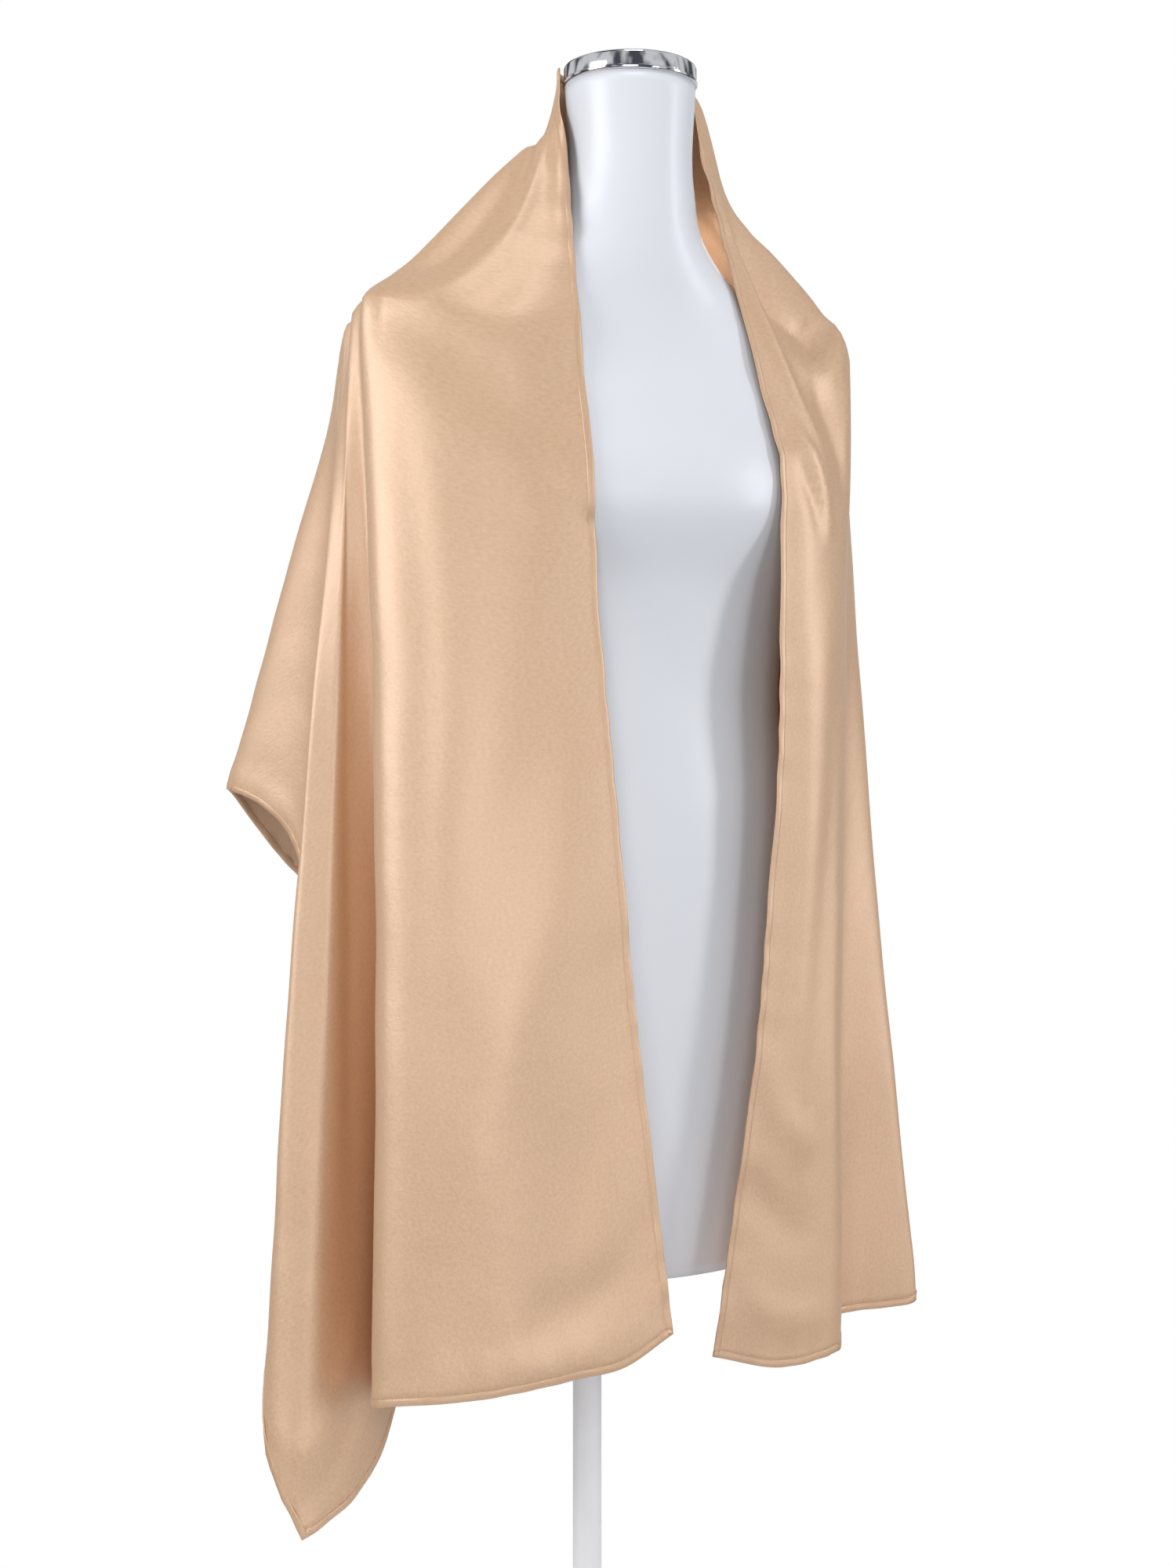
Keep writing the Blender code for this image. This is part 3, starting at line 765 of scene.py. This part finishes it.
def lay_flat(bm, places):
    """A UV map in metres, from the place of each vertex on the flat cloth."""
    uv = bm.loops.layers.uv.new("flat_cut")
    for face in bm.faces:
        for loop in face.loops:
            loop[uv].uv = places[loop.vert]


def close_up(bm, weld):
    """Doubles joined, open ends filled and the faces turned outwards."""
    bmesh.ops.remove_doubles(bm, verts=bm.verts, dist=weld)
    bmesh.ops.holes_fill(bm, edges=[edge for edge in bm.edges if edge.is_boundary], sides=0)
    bmesh.ops.recalc_face_normals(bm, faces=bm.faces)


def make_stole(cloth, finish):
    bm, where = grid(*cloth.points.shape[:2])
    for vert, place in where.items():
        vert.co = cloth.points[place]
    lay_flat(bm, {vert: cloth.flat[place] for vert, place in where.items()})
    stole = add_piece(
        "stole", bm, finish,
        ("stole_right_front", "stole_back", "stole_left_front"),
    )
    wall = stole.modifiers.new("wall", "SOLIDIFY")
    wall.thickness = CLOTH_THICKNESS
    wall.offset = 0.0
    return stole


def spread(values, at):
    """Rows of values read at places between them, counted in rows."""
    row = np.clip(at.astype(int), 0, len(values) - 2)
    part = (at - row)[:, None]
    return values[row] * (1 - part) + values[row + 1] * part


def edge_courses(cloth):
    """The cloth's four edges, each as its points, the ways out and the ways into the cloth."""
    points, out = cloth.points, cloth.out
    sides = (
        (points[0], points[1], out[0]),
        (points[:, -1], points[:, -2], out[:, -1]),
        (points[-1], points[-2], out[-1]),
        (points[:, 0], points[:, 1], out[:, 0]),
    )
    courses = []
    for edge, inner, way_out in sides:
        tangent = np.gradient(edge, axis=0)
        tangent /= np.linalg.norm(tangent, axis=-1, keepdims=True)
        into = inner - edge
        into -= (into * tangent).sum(axis=-1, keepdims=True) * tangent
        into /= np.linalg.norm(into, axis=-1, keepdims=True)
        courses.append((edge, way_out, into))
    return courses


def make_hem(cloth, finish):
    """The turned hem along the four edges: a flat tube that the cloth's edge runs into."""
    whole = bmesh.new()
    around = len(HEM_SECTION)
    for edge, way_out, into in edge_courses(cloth):
        length = lengths_along(edge)
        count = max(HEM_FEWEST_STEPS, int(length[-1] / HEM_STEP))
        run = np.linspace(0, length[-1], count)
        at = np.interp(run, length, np.arange(len(edge)))
        edge, way_out, into = spread(edge, at), spread(way_out, at), spread(into, at)
        plump = 1 + waves(np.stack([run, 0 * run], axis=-1), HEM_PLUMP)
        bm, where = grid(count, around + 1)
        flat = {}
        for vert, (step, turn) in where.items():
            flat[vert] = run[step], turn * HEM_WIDTH * HEM_GIRTH / around
            inward, up = HEM_SECTION[turn % around]
            vert.co = (
                edge[step] + into[step] * HEM_WIDTH * inward
                + way_out[step] * HEM_THICKNESS * up * plump[step]
            )
        lay_flat(bm, flat)
        close_up(bm, WELD_HEM)
        mesh = bpy.data.meshes.new("run")
        bm.to_mesh(mesh)
        bm.free()
        whole.from_mesh(mesh)
        bpy.data.meshes.remove(mesh)
    return add_piece("stole_hem", whole, finish)


def make_stitches(cloth, finish):
    """The hem's stitch line: a short dash of thread for each stitch, on both sides of the cloth."""
    bm = bmesh.new()
    for edge, way_out, into in edge_courses(cloth):
        length = lengths_along(edge)
        middles = (np.arange(int(length[-1] / STITCH_PITCH)) + 0.5) * STITCH_PITCH
        at = np.interp(middles, length, np.arange(len(edge)))
        line = edge + into * (HEM_WIDTH * STITCH_LINE)
        spots = spread(line, at)
        ahead = spread(np.gradient(line, axis=0), at)
        ups = spread(way_out, at)
        for spot, way, up in zip(spots, ahead, ups):
            way = way / np.linalg.norm(way)
            side = np.cross(way, up)
            side = side / np.linalg.norm(side)
            for face in (1, -1):
                dash = bmesh.ops.create_grid(bm, x_segments=2, y_segments=1, size=0.5)["verts"]
                for vert in dash:
                    along, off = vert.co.x, vert.co.y
                    arch = STITCH_ARCH * (1 - (2 * along) ** 2)
                    rise = HEM_THICKNESS * STITCH_LEVEL + arch + STITCH_OFF
                    vert.co = (
                        spot + way * along * STITCH_LENGTH + side * off * STITCH_WIDTH * face
                        + up * face * rise
                    )
    return add_piece("stole_stitches", bm, finish)


def make_form(finish):
    """The limbless form: rings of a squared ellipse that changes with the height."""
    heights = [level[1] for level in FORM_LEVELS]
    levels = smooth(np.linspace(0, 1, len(heights)), heights, np.linspace(0, 1, FORM_RINGS))
    section = form_section(levels)
    rings = np.stack([levels] + [section[name] for name in FORM_COLUMNS[1:]], axis=-1).tolist()
    bm, where = grid(FORM_SIDES + 1, FORM_RINGS)
    for vert, (side, ring) in where.items():
        z, half_width, middle_y, front, back, square = rings[ring]
        turn = 2 * math.pi * (side % FORM_SIDES) / FORM_SIDES
        x, y = math.cos(turn), math.sin(turn)
        depth = front if y < 0 else back
        vert.co = (
            math.copysign(half_width * abs(x) ** (2 / square), x),
            middle_y + math.copysign(depth * abs(y) ** (2 / square), y),
            z,
        )
    close_up(bm, WELD)
    return add_piece("dress_form_shell", bm, finish, ("dress_form",))


def make_turned(name, outline, radius, levels, centre_y, sides, finish, node):
    """A round piece turned about a vertical axis, closed below and above its outline."""
    foot, top = levels
    profile = [(0, foot)]
    profile += [(radius - inset, levels[level] + up) for inset, level, up in outline]
    profile.append((0, top))
    bm = bmesh.new()
    verts = [bm.verts.new((out, 0, z)) for out, z in profile]
    for lower, upper in zip(verts, verts[1:]):
        bm.edges.new((lower, upper))
    bmesh.ops.spin(
        bm, geom=bm.verts[:] + bm.edges[:], cent=(0, 0, 0), axis=(0, 0, 1),
        angle=2 * math.pi, steps=sides, use_merge=True,
    )
    bmesh.ops.translate(bm, verts=bm.verts, vec=(0, centre_y, 0))
    close_up(bm, WELD)
    piece = add_piece(name, bm, finish, (node,))
    piece.data.set_sharp_from_angle(angle=math.radians(SHARP_DEGREES))


def make_cap(finish):
    """The chrome ring round the neck's top, under its domed lid."""
    levels = (NECK_TOP + GAP, NECK_TOP + CAP_HEIGHT)
    make_turned(
        "neck_ring", CAP_OUTLINE, CAP_RADIUS, levels, NECK_CENTRE_Y, CAP_SIDES, finish,
        "neck_cap",
    )


def make_stand(finish):
    make_turned(
        "base_plate", BASE_OUTLINE, BASE_RADIUS, (0, BASE_HEIGHT), 0, BASE_SIDES, finish,
        "stand_base",
    )
    levels = (BASE_HEIGHT + GAP, FORM_BOTTOM - GAP)
    make_turned(
        "pole", POLE_OUTLINE, FLANGE_RADIUS, levels, 0, POLE_SIDES, finish,
        "stand_pole",
    )


def make_floor():
    bm = bmesh.new()
    bmesh.ops.create_circle(bm, cap_ends=True, radius=FLOOR_RADIUS, segments=FLOOR_SIDES)
    pale = Finish("pale_floor", Roughness=0.6)
    pale.drive("Base Color", (0.86, 0.86, 0.87, 1))
    add_object("studio_floor", bm, pale.material)


def add_light(name, place, aim, width, height, watts):
    data = bpy.data.lights.new(name, "AREA")
    data.shape = "RECTANGLE"
    data.size, data.size_y = width, height
    data.energy = watts
    light = bpy.data.objects.new(name, data)
    bpy.context.collection.objects.link(light)
    light.location = place
    light.visible_camera = False
    way = np.array(aim) - np.array(place)
    across = math.hypot(way[0], way[1])
    light.rotation_euler = (
        math.atan2(across, -way[2]), 0, math.atan2(way[1], way[0]) - math.pi / 2,
    )


def make_studio():
    """A white studio: the camera sees plain white, and the cloth the soft boxes and the bright and
    dark parts of the room."""
    world = bpy.data.worlds.new("white_studio")
    bpy.context.scene.world = world
    world.use_nodes = True
    room = Nodes(world.node_tree)
    room.tree.nodes.remove(room.tree.nodes["Background"])
    parts = room.noise("Generated", ROOM_SCALE, 1.5)
    tones = room.add("ShaderNodeValToRGB", {"stops": ROOM_TONES}, {"Fac": parts})
    surround = room.add("ShaderNodeBackground", values={"Color": tones, "Strength": SURROUND})
    backdrop = room.add("ShaderNodeBackground", values={"Color": (1, 1, 1, 1)})
    seen = room.add("ShaderNodeLightPath", output="Is Camera Ray")
    either = room.add("ShaderNodeMixShader", values={"Fac": seen, 1: surround, 2: backdrop})
    room.feed(room.tree.nodes["World Output"].inputs["Surface"], either)
    for box in BOXES:
        add_light(*box)
    bpy.context.scene.view_settings.view_transform = "Standard"


def make_camera():
    data = bpy.data.cameras.new("photograph_view")
    data.sensor_fit = "VERTICAL"
    data.sensor_height = CAMERA_SENSOR
    data.lens = CAMERA_LENS
    camera = bpy.data.objects.new("photograph_view", data)
    camera.location = CAMERA_PLACE
    camera.rotation_euler = [math.radians(angle) for angle in CAMERA_DEGREES]
    bpy.context.collection.objects.link(camera)
    bpy.context.scene.camera = camera


make_camera()
cloth = Cloth(CLOTH_COLUMNS, CLOTH_ROWS)
stole = make_stole(cloth, satin_finish())
hem = make_hem(cloth, hem_finish())
stitches = make_stitches(cloth, thread_finish())
make_form(shell_finish())
make_cap(chrome_finish())
make_stand(paint_finish())
make_floor()
make_studio()
